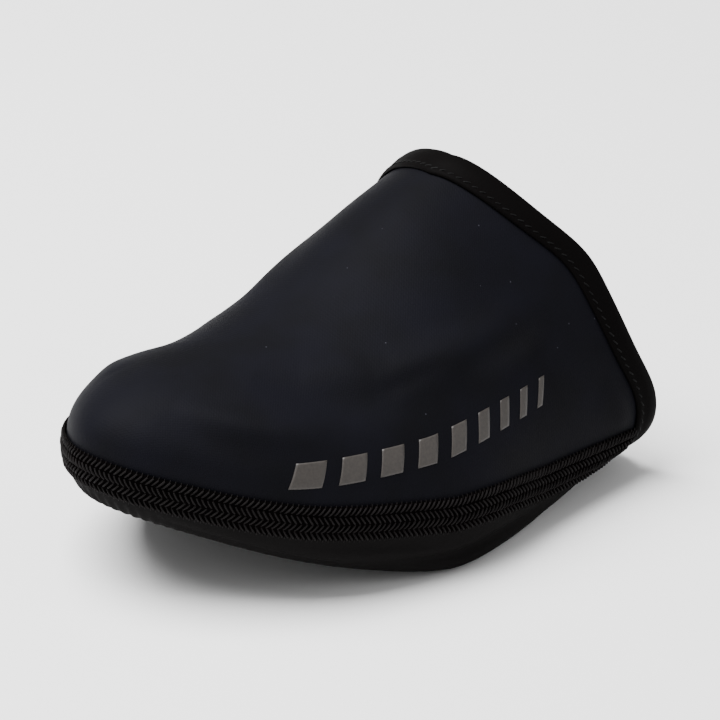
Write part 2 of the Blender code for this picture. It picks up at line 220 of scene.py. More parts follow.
def middle_line(x):
    return TOE_OFFSET * COVER_LENGTH * np.clip(1.0 - x / (TOE_OFFSET_END * COVER_LENGTH), 0.0, 1.0)**2


def ridge_line(x):
    share = (x / COVER_LENGTH - RIDGE_START) / (TOP_LENGTH / COVER_LENGTH - RIDGE_START)
    return middle_line(x) + RIDGE_OFFSET * COVER_LENGTH * smooth_step(share)


def quartic(t, a, b, c, d, e):
    s = 1.0 - t
    return s**4 * a + 4 * s**3 * t * b + 6 * s**2 * t**2 * c + 4 * s * t**3 * d + t**4 * e


Column = namedtuple("Column", "points runs seam ridge outward")


@lru_cache(maxsize=None)
def column(share):
    """Line down the shoe from the ridge to the underside, at a signed share of its length.

    A minus sign is the little-toe side. The seam's middle crosses the line at the run seam.
    """
    side = LATERAL if share <= 0.0 else MEDIAL
    along = abs(share)
    fan = TOE_FAN * COVER_LENGTH
    reach = math.sqrt((side.length + fan)**2 - fan**2)
    foot_x = math.sqrt((along * reach)**2 + fan**2) - fan
    ridge_start = RIDGE_START * COVER_LENGTH
    ridge_x = ridge_start + (TOP_LENGTH - ridge_start) * along**RIDGE_GATHER
    ridge_y = float(ridge_line(ridge_x))
    half_width = float(side.half_width(math.sqrt(foot_x / COVER_LENGTH)))
    foot_y = float(middle_line(foot_x)) + side.sign * half_width
    foot_z = float(underside(foot_x)) + RAND_HEIGHT

    form = {name: float(curve(along)) for name, curve in side.sections.items()}
    t = np.linspace(0.0, 1.0, PROFILE_POINTS)
    out = quartic(t, 0.0, form["crown_reach"], form["shoulder_out"], 1.0, 1.0)
    up = quartic(t, 1.0, 1.0, form["shoulder_up"], form["wall_rise"], 0.0)
    x = ridge_x + (foot_x - ridge_x) * out**(1.0 + (side.bow - 1.0) * along)
    y = ridge_y + (foot_y - ridge_y) * out
    wall = np.stack([x, y, foot_z + (top_line(x) - foot_z) * up], axis=1)

    arch = float(smooth_step((foot_x / COVER_LENGTH - ARCH_START) / (1.0 - ARCH_START)))
    power = TOE_CORNER + (ARCH_CORNER - TOE_CORNER) * arch
    inset = TOE_ROUND + (ARCH_ROUND - TOE_ROUND) * arch
    inward = np.array([(ridge_x - foot_x) * (1.0 - arch), ridge_y - foot_y])
    inward /= np.linalg.norm(inward)
    turn = np.linspace(0.0, math.pi / 2, PROFILE_POINTS // 2)[1:]
    inside = inset * (1.0 - np.abs(np.cos(turn))**(2.0 / power))
    drop = np.sin(turn)**(2.0 / power)
    x = foot_x + inward[0] * inside
    y = foot_y + inward[1] * inside
    rand = np.stack([x, y, foot_z - (foot_z - underside(x)) * drop], axis=1)

    points = np.concatenate([wall, rand])
    runs = np.concatenate([[0.0], np.cumsum(np.linalg.norm(np.diff(points, axis=0), axis=1))])
    seam = runs[len(wall) - 1] + float(side.seam_drop(foot_x))
    down = np.where(runs < seam, runs / seam, 1.0 + (runs - seam) / (runs[-1] - seam))
    follow = smooth_step((along - COLLAR_START) / (COLLAR_FULL - COLLAR_START))
    points[:, 0] += side.collar_shift(down) * follow
    outward = np.array([foot_x - ridge_x, foot_y - ridge_y])
    outward /= np.linalg.norm(outward)
    return Column(points, runs, seam, np.array([ridge_x, ridge_y]), outward)


def on_column(share, runs):
    line = column(share)
    return np.stack([np.interp(runs, line.runs, line.points[:, axis]) for axis in range(3)], axis=1)


def run_at(share, down):
    """Run at a share down the shoe: 0 is the ridge, 1 the seam's middle, 2 the rand's lower end."""
    line = column(share)
    down = np.asarray(down, dtype=float)
    below = line.seam + (down - 1.0) * (line.runs[-1] - line.seam)
    return np.where(down <= 1.0, down * line.seam, below)


def number_grid(rows, columns):
    """Point numbers of a grid whose first row is the ridge, shared by both sides of the shoe."""
    number = np.arange(rows * columns).reshape(rows, columns)
    middle = columns // 2
    number[0, middle + 1:] = number[0, :middle][::-1]
    return number


def grid_quads(number):
    corners = [number[:-1, :-1], number[:-1, 1:], number[1:, 1:], number[1:, :-1]]
    return np.stack(corners, axis=-1).reshape(-1, 4)


def point_normals(points, quads):
    a, b, c, d = (points[quads[:, i]] for i in range(4))
    across = np.cross(c - a, d - b)
    normals = np.zeros_like(points)
    for i in range(4):
        np.add.at(normals, quads[:, i], across)
    length = np.linalg.norm(normals, axis=1, keepdims=True)
    return normals / np.where(length > 0.0, length, 1.0)


def rim_quads(quads, depth):
    """Quads that close the open edges between an outer skin and the inner skin behind it."""
    one = quads.reshape(-1)
    other = np.roll(quads, -1, axis=1).reshape(-1)
    size = int(quads.max()) + 1
    forward = one.astype(np.int64) * size + other
    backward = other.astype(np.int64) * size + one
    open_edge = ~np.isin(forward, backward)
    a, b = one[open_edge], other[open_edge]
    return np.stack([b, a, a + depth, b + depth], axis=1)


def closed_shell(points, quads, normals, outside, wall):
    """Both skins of a wall and its rims, with 0 for the outer skin's faces and 1 for the others."""
    outer = points + normals * np.reshape(outside, (-1, 1))
    inner = outer - normals * np.reshape(wall, (-1, 1))
    depth = len(points)
    rims = rim_quads(quads, depth)
    faces = np.concatenate([quads, quads[:, ::-1] + depth, rims])
    skin = np.concatenate([np.zeros(len(quads), int), np.ones(len(quads) + len(rims), int)])
    return np.concatenate([outer, inner]), faces, skin


# A crease's places are signed shares of the shoe's length, each with a share down the shoe.
Crease = namedtuple("Crease", "height width places")
FOLD_STEPS = 24
FOLD_TAPER = 0.8
FOLD_TIP = 0.02            # share of a fold, at each end, that keeps its low end's height
FOLD_REACH = 3.0           # widths away from its line at which a fold is flat
UPPER_CREASES = [
    Crease(0.9, 4.0, [(-0.13, 0.32), (-0.20, 0.46), (-0.26, 0.54), (-0.33, 0.60), (-0.38, 0.65)]),
    Crease(-0.9, 5.0, [(-0.10, 0.45), (-0.18, 0.59), (-0.25, 0.68), (-0.32, 0.75)]),
    Crease(-1.2, 6.0, [(-0.33, 0.24), (-0.40, 0.39), (-0.47, 0.50), (-0.55, 0.57)]),
    Crease(0.8, 6.5, [(-0.46, 0.26), (-0.52, 0.36), (-0.58, 0.42)]),
    Crease(2.6, 6.5, [(-0.54, 0.42), (-0.62, 0.48), (-0.70, 0.51), (-0.78, 0.52), (-0.87, 0.51)]),
    Crease(-1.0, 5.0, [(-0.64, 0.61), (-0.74, 0.62), (-0.84, 0.61), (-0.92, 0.57)]),
    Crease(-0.6, 2.5, [(-0.52, 0.49), (-0.59, 0.505), (-0.66, 0.52)]),
    Crease(0.9, 4.5, [(-0.90, 0.80), (-0.935, 0.88), (-0.94, 0.96)]),
    Crease(-0.6, 7.0, [(-0.62, 0.78), (-0.72, 0.70), (-0.84, 0.66)]),
    Crease(0.6, 4.5, [(0.18, 0.42), (0.27, 0.56), (0.36, 0.66)]),
    Crease(-0.9, 5.5, [(0.34, 0.34), (0.44, 0.48), (0.54, 0.58)]),
    Crease(-1.0, 5.0, [(0.60, 0.46), (0.72, 0.54), (0.86, 0.56)]),
    Crease(0.8, 5.5, [(0.62, 0.34), (0.74, 0.42), (0.86, 0.44)]),
]


def crease_height(points, creases):
    """Height of the soft ridges and troughs at each point; their ends taper out."""
    height = np.zeros(len(points))
    at = np.linspace(0.0, 1.0, FOLD_STEPS)
    for crease in creases:
        knots = np.linspace(0.0, 1.0, len(crease.places))
        share, down = (smooth_curve(knots, values)(at) for values in zip(*crease.places))
        path = np.array([on_column(s, run_at(s, [d]))[0] for s, d in zip(share, down)])
        reach = FOLD_REACH * crease.width
        within = (points > path.min(axis=0) - reach) & (points < path.max(axis=0) + reach)
        near = np.flatnonzero(within.all(axis=1))
        best = np.full(len(near), np.inf)
        where = np.zeros(len(near))
        for i in range(FOLD_STEPS - 1):
            step = path[i + 1] - path[i]
            part = np.clip((points[near] - path[i]) @ step / (step @ step), 0.0, 1.0)
            away = np.linalg.norm(points[near] - path[i] - part[:, None] * step, axis=1)
            closer = away < best
            best[closer] = away[closer]
            where[closer] = (i + part[closer]) / (FOLD_STEPS - 1)
        taper = np.sin(math.pi * np.clip(where, FOLD_TIP, 1.0 - FOLD_TIP))**FOLD_TAPER
        height[near] += crease.height * taper * np.exp(-(best / crease.width)**2)
    return height


SEAM_HALF = 4.5
BINDING_WIDTH = 6.5
BACK_REACH = COVER_LENGTH + TOE_FAN * COVER_LENGTH
PACE = (BACK_REACH**2 - (TOE_FAN * COVER_LENGTH)**2) / BACK_REACH    # millimetres a share, at the collar
BINDING_START = 1.0 - BINDING_WIDTH / PACE
UNDER_SEAM = 1.0           # distance under the seam's edge at which creases start to fade in
UNDER_BINDING = 0.01       # the same under the binding, as a share of the length
COLLAR_FADE = 0.05


def crease_fade(share, to_seam, seam_fade):
    """Creases die out under the seam, over the distance seam_fade, and under the binding."""
    at_seam = smooth_step((to_seam - SEAM_HALF + UNDER_SEAM) / seam_fade)
    at_collar = smooth_step((BINDING_START + UNDER_BINDING - np.abs(share)) / COLLAR_FADE)
    return at_seam * at_collar


UPPER_SEAM_FADE = 5.0
UPPER_COLUMNS = 110
UPPER_ROWS = 100
upper_shares = np.linspace(-1.0, 1.0, 2 * UPPER_COLUMNS + 1)
upper_number = number_grid(UPPER_ROWS + 1, len(upper_shares))
upper_points = np.zeros((UPPER_ROWS + 1, len(upper_shares), 3))
upper_map = np.zeros((UPPER_ROWS + 1, len(upper_shares), 2))
upper_soft = np.zeros((UPPER_ROWS + 1, len(upper_shares)))
for c, share in enumerate(upper_shares):
    line = column(float(share))
    runs = np.linspace(0.0, line.seam - GAP / 2.0, UPPER_ROWS + 1)
    upper_points[:, c] = on_column(float(share), runs)
    upper_map[:, c] = line.ridge + line.outward * runs[:, None]
    upper_soft[:, c] = crease_fade(share, line.seam - runs, UPPER_SEAM_FADE)
upper_points = upper_points.reshape(-1, 3)
upper_map = upper_map.reshape(-1, 2)
upper_quads = grid_quads(upper_number)
upper_normals = point_normals(upper_points, upper_quads)
upper_relief = crease_height(upper_points, UPPER_CREASES) * upper_soft.reshape(-1)

MM = 0.001
MAP_UNIT = 100.0           # millimetres in one unit of the surface map
low, high = (np.array(corner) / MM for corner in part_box("upper"))
shape_middle = (upper_points.min(axis=0) + upper_points.max(axis=0)) / 2.0
origin = shape_middle - (low + high) / 2.0
origin[2] = 0.0


def make_piece(name, points, faces, materials, skin=None, surface_map=None):
    """Mesh object at the origin, smooth shaded; skin picks each face's material."""
    used, faces = np.unique(faces, return_inverse=True)
    faces = faces.reshape(-1, 4)
    mesh = bpy.data.meshes.new(name)
    mesh.from_pydata(((points[used] - origin) * MM).tolist(), [], faces.tolist())
    for material in materials:
        mesh.materials.append(material)
    if skin is not None:
        mesh.polygons.foreach_set("material_index", skin)
    if surface_map is not None:
        layer = mesh.uv_layers.new(name="surface")
        corners = surface_map[used][faces.reshape(-1)] / MAP_UNIT
        layer.data.foreach_set("uv", corners.reshape(-1))
    mesh.shade_smooth()
    piece = bpy.data.objects.new(name, mesh)
    bpy.context.scene.collection.objects.link(piece)
    return piece


def linear(colour):
    """Linear colour from an sRGB hex value."""
    channels = [int(colour[i:i + 2], 16) / 255.0 for i in (1, 3, 5)]
    curved = [c / 12.92 if c <= 0.04045 else ((c + 0.055) / 1.055)**2.4 for c in channels]
    return (*curved, 1.0)


def add_node(tree, kind, settings=(), inputs=()):
    """Add a node with its settings; an input is given a constant or another node's socket."""
    node = tree.nodes.new(kind)
    for name, value in dict(settings).items():
        setattr(node, name, value)
    for name, value in dict(inputs).items():
        socket = node.inputs[name]
        if isinstance(value, bpy.types.NodeSocket):
            tree.links.new(value, socket)
        else:
            socket.default_value = value
    return node


def new_finish(name, colour, **constants):
    """Material with its shader's constants set, returned with its node tree and shader."""
    material = bpy.data.materials.new(name)
    material.use_nodes = True
    tree = material.node_tree
    shader = tree.nodes["Principled BSDF"]
    shader.inputs["Base Color"].default_value = linear(colour)
    for socket, value in constants.items():
        shader.inputs[socket.replace("_", " ")].default_value = value
    return material, tree, shader


# Fine warp knit of nylon, laminated on foam: its wales are 0.5 mm apart. They are drawn 0.9 mm
# apart, because finer ones don't show. The eye sees a soft, broad sheen on navy black.
WALE = 0.9
COURSE = 0.9
SLACK_WIDTH = 18.18        # patches where the foam lies a little slack
PILE_WIDTH = 1.111
LINT_APART = 7.0
LINT_SIZE = 0.2
knit, tree, shader = new_finish("nylon_knit_on_foam", "#0c0c10", Roughness=0.62, Specular_IOR_Level=0.026)
place = add_node(tree, "ShaderNodeUVMap", {"uv_map": "surface"})
split = add_node(tree, "ShaderNodeSeparateXYZ", inputs={0: place.outputs[0]})
wale = add_node(tree, "ShaderNodeMath", {"operation": "MULTIPLY"}, {
    0: split.outputs[1], 1: MAP_UNIT / WALE})
wale_part = add_node(tree, "ShaderNodeMath", {"operation": "PINGPONG"}, {0: wale.outputs[0], 1: 0.5})
course = add_node(tree, "ShaderNodeMath", {"operation": "MULTIPLY"}, {
    0: split.outputs[0], 1: MAP_UNIT / COURSE})
loop = add_node(tree, "ShaderNodeMath", {"operation": "ADD"}, {
    0: course.outputs[0], 1: wale_part.outputs[0]})
turn = add_node(tree, "ShaderNodeMath", {"operation": "MULTIPLY"}, {
    0: loop.outputs[0], 1: 2.0 * math.pi})
wave = add_node(tree, "ShaderNodeMath", {"operation": "SINE"}, {0: turn.outputs[0]})
body = add_node(tree, "ShaderNodeTexCoord").outputs["Object"]
slack = add_node(tree, "ShaderNodeTexNoise", inputs={
    "Vector": body, "Scale": 1.0 / (SLACK_WIDTH * MM), "Detail": 2.0})
fine = add_node(tree, "ShaderNodeTexNoise", inputs={
    "Vector": body, "Scale": 1.0 / (PILE_WIDTH * MM), "Detail": 2.0})
tone = add_node(tree, "ShaderNodeMapRange", inputs={0: slack.outputs[0], 1: 0.35, 2: 0.65})
colour = add_node(tree, "ShaderNodeMix", {"data_type": "RGBA"}, {
    0: tone.outputs[0], 6: linear("#0b0b0e"), 7: linear("#0d0d12")})
lint = add_node(tree, "ShaderNodeTexVoronoi", inputs={
    "Vector": body, "Scale": 1.0 / (LINT_APART * MM)})
speck = add_node(tree, "ShaderNodeMath", {"operation": "LESS_THAN"}, {
    0: lint.outputs["Distance"], 1: LINT_SIZE / LINT_APART})
dusted = add_node(tree, "ShaderNodeMix", {"data_type": "RGBA"}, {
    0: speck.outputs[0], 6: colour.outputs[2], 7: linear("#2e2e34")})
tree.links.new(dusted.outputs[2], shader.inputs["Base Color"])
hollow = add_node(tree, "ShaderNodeBump", inputs={
    "Strength": 0.3, "Distance": 0.4 * MM, "Height": slack.outputs[0]})
pile = add_node(tree, "ShaderNodeBump", inputs={
    "Strength": 0.25, "Distance": 0.2 * MM, "Height": fine.outputs[0], "Normal": hollow.outputs[0]})
knit_bump = add_node(tree, "ShaderNodeBump", inputs={
    "Strength": 0.1, "Distance": 0.12 * MM, "Height": wave.outputs[0], "Normal": pile.outputs[0]})
tree.links.new(knit_bump.outputs[0], shader.inputs["Normal"])


def grainy(tree, shader, width, detail, strength, depth):
    """Fine grain raised on the shader's surface, width and depth in millimetres; returns its noise."""
    body = add_node(tree, "ShaderNodeTexCoord").outputs["Object"]
    noise = add_node(tree, "ShaderNodeTexNoise", inputs={
        "Vector": body, "Scale": 1.0 / (width * MM), "Detail": detail})
    bump = add_node(tree, "ShaderNodeBump", inputs={
        "Strength": strength, "Distance": depth * MM, "Height": noise.outputs[0]})
    tree.links.new(bump.outputs[0], shader.inputs["Normal"])
    return noise


def two_tone(tree, shader, noise, dark, light):
    """Colour that wanders between two tones with the noise."""
    tone = add_node(tree, "ShaderNodeMix", {"data_type": "RGBA"}, {
        0: noise.outputs[0], 6: linear(dark), 7: linear(light)})
    tree.links.new(tone.outputs[2], shader.inputs["Base Color"])


# Brushed jersey inside: short nap, so it shows no highlight.
lining, tree, shader = new_finish("brushed_jersey_lining", "#121213", Roughness=0.95, Specular_IOR_Level=0.1,
                                  Sheen_Weight=0.3, Sheen_Roughness=0.6)
nap = grainy(tree, shader, width=1.429, detail=3.0, strength=0.6, depth=0.4)
two_tone(tree, shader, nap, "#0b0b0c", "#1b1b1d")

shell = closed_shell(upper_points, upper_quads, upper_normals, upper_relief, UPPER_WALL)
upper = make_piece("toe_cover_upper", shell[0], shell[1], [knit, lining], shell[2],
                   np.concatenate([upper_map, upper_map]))
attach(upper, "root")
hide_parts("upper")


# The sole panel: the rand below the seam and the underside, one piece of thin coated fabric
# drawn under the sole. It is gathered a little round the toe, wrinkled along its lower edge and
# hemmed round the opening for the pedal cleat.
SOLE_WALL = 1.8
OPENING_LENGTH = 56.0
OPENING_WIDTH = 50.0
OPENING_START = 58.0
OPENING_OFFSET = -4.0
OPENING_CORNER = 3.0
HEM_WIDTH = 6.0
HEM_THICKNESS = 0.9
HEM_STEP = 0.4             # width of the step from the panel up to its hem
SOLE_COLUMNS = 240
RAND_ROWS = 26
ARCH_POINTS = 60
RINGS = 12
sole_shares = np.linspace(-1.0, 1.0, 2 * SOLE_COLUMNS + 1)
rand_points = np.zeros((RAND_ROWS + 1, len(sole_shares), 3))
for c, share in enumerate(sole_shares):
    line = column(float(share))
    runs = np.linspace(line.seam + GAP / 2.0, line.runs[-1], RAND_ROWS + 1)
    rand_points[:, c] = on_column(float(share), runs)
rand_number = np.arange(rand_points[..., 0].size).reshape(rand_points.shape[:2])


def opening_radius(towards, margin):
    """Distance from the middle of the rounded opening to its edge in one direction."""
    across = abs(towards[0]) / (OPENING_LENGTH / 2.0 + margin)
    beside = abs(towards[1]) / (OPENING_WIDTH / 2.0 + margin)
    return (across**OPENING_CORNER + beside**OPENING_CORNER)**(-1.0 / OPENING_CORNER)


arch_shares = np.linspace(0.0, 1.0, ARCH_POINTS + 2)[1:-1, None]
arch_line = rand_points[-1, -1] + (rand_points[-1, 0] - rand_points[-1, -1]) * arch_shares
arch_line[:, 2] = underside(arch_line[:, 0])
ring_points = [np.concatenate([rand_points[-1], arch_line])]
opening_centre = np.array([OPENING_START + OPENING_LENGTH / 2.0, OPENING_OFFSET])
spokes = ring_points[0][:, :2] - opening_centre
distances = np.linalg.norm(spokes, axis=1)
spokes /= distances[:, None]
hem_edge = np.array([opening_radius(spoke, HEM_WIDTH) for spoke in spokes])
opening_edge = np.array([opening_radius(spoke, 0.0) for spoke in spokes])
stops = [distances + (hem_edge - distances) * share for share in np.linspace(0.0, 1.0, RINGS + 1)[1:]]
stops += [hem_edge - HEM_STEP, (hem_edge + opening_edge) / 2.0, opening_edge]
for stop in stops:
    ring = np.zeros((len(spokes), 3))
    ring[:, :2] = opening_centre + spokes * stop[:, None]
    ring[:, 2] = underside(ring[:, 0])
    ring_points.append(ring)
ring_size = len(spokes)
first_ring = np.concatenate([rand_number[-1], rand_number.size + np.arange(ARCH_POINTS)])
later_rings = rand_number.size + ARCH_POINTS + np.arange(len(stops) * ring_size).reshape(len(stops), -1)
ring_number = np.concatenate([first_ring[None], later_rings])
ring_number = np.concatenate([ring_number, ring_number[:, :1]], axis=1)
sole_points = np.concatenate([rand_points.reshape(-1, 3), arch_line] + ring_points[1:])
sole_quads = np.concatenate([grid_quads(rand_number), grid_quads(ring_number)])
sole_normals = point_normals(sole_points, sole_quads)
sole_wall = np.full(len(sole_points), SOLE_WALL)
sole_wall[ring_number[-3:]] = SOLE_WALL + HEM_THICKNESS

SOLE_CREASES = [
    Crease(-1.40, 1.3, [(-0.42, 1.56), (-0.55, 1.53), (-0.66, 1.46), (-0.76, 1.40)]),
    Crease(1.00, 1.8, [(-0.46, 1.68), (-0.56, 1.66), (-0.67, 1.60), (-0.77, 1.52)]),
    Crease(-0.70, 1.1, [(-0.10, 1.46), (-0.20, 1.60), (-0.32, 1.66), (-0.44, 1.68)]),
    Crease(0.80, 1.7, [(-0.30, 1.50), (-0.42, 1.46), (-0.54, 1.44)]),
    Crease(-0.60, 1.1, [(-0.60, 1.66), (-0.70, 1.60), (-0.80, 1.55)]),
    Crease(-0.75, 1.2, [(0.14, 1.50), (0.27, 1.62), (0.42, 1.62)]),
    Crease(-0.85, 1.2, [(0.48, 1.52), (0.62, 1.47), (0.78, 1.42)]),
    Crease(0.60, 1.7, [(0.30, 1.48), (0.44, 1.44), (0.58, 1.42)]),
]
GATHER_PITCH = 3.2
GATHER_DEPTH = 0.32
GATHER_REACH = 0.24        # share of the length, from the toe tip, over which the rand is gathered
GATHER_TOP = 0.25          # share down the rand at which the gathers start
RAND_SEAM_FADE = 2.0
HEM_GROOVE = 0.35          # the hem's stitches draw the fabric in
sole_relief = crease_height(sole_points, SOLE_CREASES)
foot_steps = np.linalg.norm(np.diff(rand_points[0], axis=0), axis=1)
foot_run = np.concatenate([[0.0], np.cumsum(foot_steps)])
down_rand = np.linspace(0.0, 1.0, RAND_ROWS + 1)[:, None]
gather = np.cos(2.0 * math.pi * foot_run / GATHER_PITCH)
gather = gather * smooth_step(1.0 - np.abs(sole_shares) / GATHER_REACH)
gather = gather * np.sin(math.pi * smooth_step((down_rand - GATHER_TOP) / (1.0 - GATHER_TOP)))
rand_lengths = np.array([column(float(s)).runs[-1] - column(float(s)).seam for s in sole_shares])
rand_soft = crease_fade(sole_shares, down_rand * rand_lengths, RAND_SEAM_FADE)
sole_relief[:rand_number.size] += (gather * GATHER_DEPTH).reshape(-1)
sole_relief[:rand_number.size] *= rand_soft.reshape(-1)
sole_relief[ring_number[-2]] = -HEM_GROOVE

# Stretch fabric with a thin rubbery coating: a fine grain and a dull neutral black, which takes
# a faint light only where it turns up towards the sky.
coated, tree, shader = new_finish("coated_stretch_fabric", "#100f0f", Roughness=0.65,
                                  Specular_IOR_Level=0.016)
grainy(tree, shader, width=1.538, detail=3.0, strength=0.4, depth=0.3)
shell = closed_shell(sole_points, sole_quads, sole_normals, sole_relief, sole_wall)
sole = make_piece("toe_cover_sole", shell[0], shell[1], [coated, lining], shell[2])
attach(sole, "root")
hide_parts("sole_panel")


# The flatlock seam: the two edges butted and sewn over with four needle threads and looper
# threads on both faces, so it lies as a flat, open-looking braid of black thread.
SEAM_THICKNESS = 0.9
SEAM_STATIONS = 300
SEAM_DOME = (0.35, 0.75, 0.95, 1.0, 0.95, 0.75, 0.35)
seam_end = BINDING_START - 2.0 * GAP / PACE
seam_shares = np.linspace(-seam_end, seam_end, 2 * SEAM_STATIONS + 1)
seam_offsets = np.linspace(-SEAM_HALF, SEAM_HALF, len(SEAM_DOME))
seam_points = np.stack([on_column(float(share), column(float(share)).seam + seam_offsets)
                        for share in seam_shares], axis=1)
seam_number = np.arange(seam_points[..., 0].size).reshape(seam_points.shape[:2])
seam_quads = grid_quads(seam_number)
seam_flat = seam_points.reshape(-1, 3)
seam_normals = point_normals(seam_flat, seam_quads)
seam_height = np.repeat(np.array(SEAM_DOME) * SEAM_THICKNESS, len(seam_shares))
# Bulked thread: matt and a warm black, lighter than the painted shade of the looper threads under it, so
# each loop shows.
FIBRE_WIDTH = 0.8333
thread, tree, shader = new_finish("bulked_polyester_thread", "#141212", Roughness=0.65,
                                  Specular_IOR_Level=0.05)
grainy(tree, shader, width=FIBRE_WIDTH, detail=2.0, strength=0.5, depth=0.2)

# Looper threads under the loops: painted shade, deep black for the shade that the loops cast on them.
looper_painted_shade, tree, shader = new_finish("looper_thread_painted_shade", "#050404", Roughness=0.9,
                                  Specular_IOR_Level=0.0)
grainy(tree, shader, width=FIBRE_WIDTH, detail=2.0, strength=0.5, depth=0.2)
shell = closed_shell(seam_flat, seam_quads, seam_normals, GAP + seam_height, seam_height)
# The seam's whole body wears this painted shade.
seam = make_piece("toe_cover_flatlock", shell[0], shell[1], [looper_painted_shade])
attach(seam, "root")
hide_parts("flatlock_seam")


UNEVEN = (0.88, 1.08)      # least and greatest share of its full size that a stitch comes out
UNEVEN_SEED = 7


def stitch_tree(name):
    """Geometry Nodes: lay one bowed stitch of thread at every pitch along the sewing lines.

    The lines carry out, the way out of the fabric, lean, the stitch's turn from the line, and
    size, its share of the full length.
    """
    tree = bpy.data.node_groups.new(name, "GeometryNodeTree")
    tree.interface.new_socket("Lines", in_out="INPUT", socket_type="NodeSocketGeometry")
    for measure in ("Pitch", "Stitch length", "Thread radius", "Bow"):
        tree.interface.new_socket(measure, in_out="INPUT", socket_type="NodeSocketFloat")
    tree.interface.new_socket("Thread", in_out="INPUT", socket_type="NodeSocketMaterial")
    tree.interface.new_socket("Stitches", in_out="OUTPUT", socket_type="NodeSocketGeometry")
    given = add_node(tree, "NodeGroupInput").outputs
    half = add_node(tree, "ShaderNodeMath", {"operation": "MULTIPLY"}, {0: given["Stitch length"], 1: 0.5})
    back_half = add_node(tree, "ShaderNodeMath", {"operation": "MULTIPLY"}, {0: half.outputs[0], 1: -1.0})
    top = add_node(tree, "ShaderNodeMath", {"operation": "MULTIPLY"}, {0: given["Bow"], 1: 2.0})
    start = add_node(tree, "ShaderNodeCombineXYZ", inputs={0: back_half.outputs[0]})
    middle = add_node(tree, "ShaderNodeCombineXYZ", inputs={2: top.outputs[0]})
    end = add_node(tree, "ShaderNodeCombineXYZ", inputs={0: half.outputs[0]})
    bow = add_node(tree, "GeometryNodeCurveQuadraticBezier", inputs={
        "Resolution": 5, "Start": start.outputs[0], "Middle": middle.outputs[0], "End": end.outputs[0]})
    round_thread = add_node(tree, "GeometryNodeCurvePrimitiveCircle", inputs={
        "Resolution": 6, "Radius": given["Thread radius"]})
    stitch = add_node(tree, "GeometryNodeCurveToMesh", inputs={
        "Curve": bow.outputs[0], "Profile Curve": round_thread.outputs[0], "Fill Caps": True})
    line = add_node(tree, "GeometryNodeMeshToCurve", inputs={0: given["Lines"]})
    marks = add_node(tree, "GeometryNodeResampleCurve", {"mode": "LENGTH"}, {
        "Curve": line.outputs[0], "Length": given["Pitch"]})
    out = add_node(tree, "GeometryNodeInputNamedAttribute", {"data_type": "FLOAT_VECTOR"}, {"Name": "out"})
    lean = add_node(tree, "GeometryNodeInputNamedAttribute", {"data_type": "FLOAT"}, {"Name": "lean"})
    size = add_node(tree, "GeometryNodeInputNamedAttribute", {"data_type": "FLOAT"}, {"Name": "size"})
    tangent = add_node(tree, "GeometryNodeInputTangent")
    upright = add_node(tree, "FunctionNodeAxesToRotation", {"primary_axis": "Z", "secondary_axis": "X"}, {
        0: out.outputs[0], 1: tangent.outputs[0]})
    turn = add_node(tree, "FunctionNodeAxisAngleToRotation", inputs={"Angle": lean.outputs[0]})
    leaned = add_node(tree, "FunctionNodeRotateRotation", {"rotation_space": "LOCAL"}, {
        0: upright.outputs[0], 1: turn.outputs[0]})
    uneven = add_node(tree, "FunctionNodeRandomValue", {"data_type": "FLOAT"}, {
        2: UNEVEN[0], 3: UNEVEN[1], "Seed": UNEVEN_SEED})
    scale = add_node(tree, "ShaderNodeMath", {"operation": "MULTIPLY"}, {
        0: size.outputs[0], 1: uneven.outputs[1]})
    rows = add_node(tree, "GeometryNodeInstanceOnPoints", inputs={
        "Points": marks.outputs[0], "Instance": stitch.outputs[0],
        "Rotation": leaned.outputs[0], "Scale": scale.outputs[0]})
    real = add_node(tree, "GeometryNodeRealizeInstances", inputs={0: rows.outputs[0]})
    smooth = add_node(tree, "GeometryNodeSetShadeSmooth", inputs={0: real.outputs[0]})
    dyed = add_node(tree, "GeometryNodeSetMaterial", inputs={
        "Geometry": smooth.outputs[0], "Material": given["Thread"]})
    add_node(tree, "NodeGroupOutput", inputs={0: dyed.outputs[0]})
    return tree


Row = namedtuple("Row", "points out lean size")
stitches = stitch_tree("sewn_stitches")


def sew(name, rows, pitch, length, radius, bow, material):
    """Stitches along rows of points, as one plain mesh; sizes in millimetres, leans in degrees."""
    points = np.concatenate([row.points for row in rows])
    edges = []
    first = 0
    for row in rows:
        edges += [(i, i + 1) for i in range(first, first + len(row.points) - 1)]
        first += len(row.points)
    mesh = bpy.data.meshes.new(name + "_lines")
    mesh.from_pydata(((points - origin) * MM).tolist(), edges, [])
    out = mesh.attributes.new("out", "FLOAT_VECTOR", "POINT")
    out.data.foreach_set("vector", np.concatenate([row.out for row in rows]).reshape(-1))
    lean = mesh.attributes.new("lean", "FLOAT", "POINT")
    lean.data.foreach_set("value", np.concatenate(
        [np.full(len(row.points), math.radians(row.lean)) for row in rows]))
    size = mesh.attributes.new("size", "FLOAT", "POINT")
    size.data.foreach_set("value", np.concatenate([np.full(len(row.points), row.size) for row in rows]))
    lines = bpy.data.objects.new(name + "_lines", mesh)
    bpy.context.scene.collection.objects.link(lines)
    modifier = lines.modifiers.new("stitches", "NODES")
    modifier.node_group = stitches
    sockets = {item.name: item.identifier for item in stitches.interface.items_tree
               if item.in_out == "INPUT"}
    modifier[sockets["Pitch"]] = pitch * MM
    modifier[sockets["Stitch length"]] = length * MM
    modifier[sockets["Thread radius"]] = radius * MM
    modifier[sockets["Bow"]] = bow * MM
    modifier[sockets["Thread"]] = material
    depsgraph = bpy.context.evaluated_depsgraph_get()
    sewn = bpy.data.meshes.new_from_object(lines.evaluated_get(depsgraph))
    bpy.data.objects.remove(lines)
    sewn.name = name
    piece = bpy.data.objects.new(name, sewn)
    bpy.context.scene.collection.objects.link(piece)
    return piece


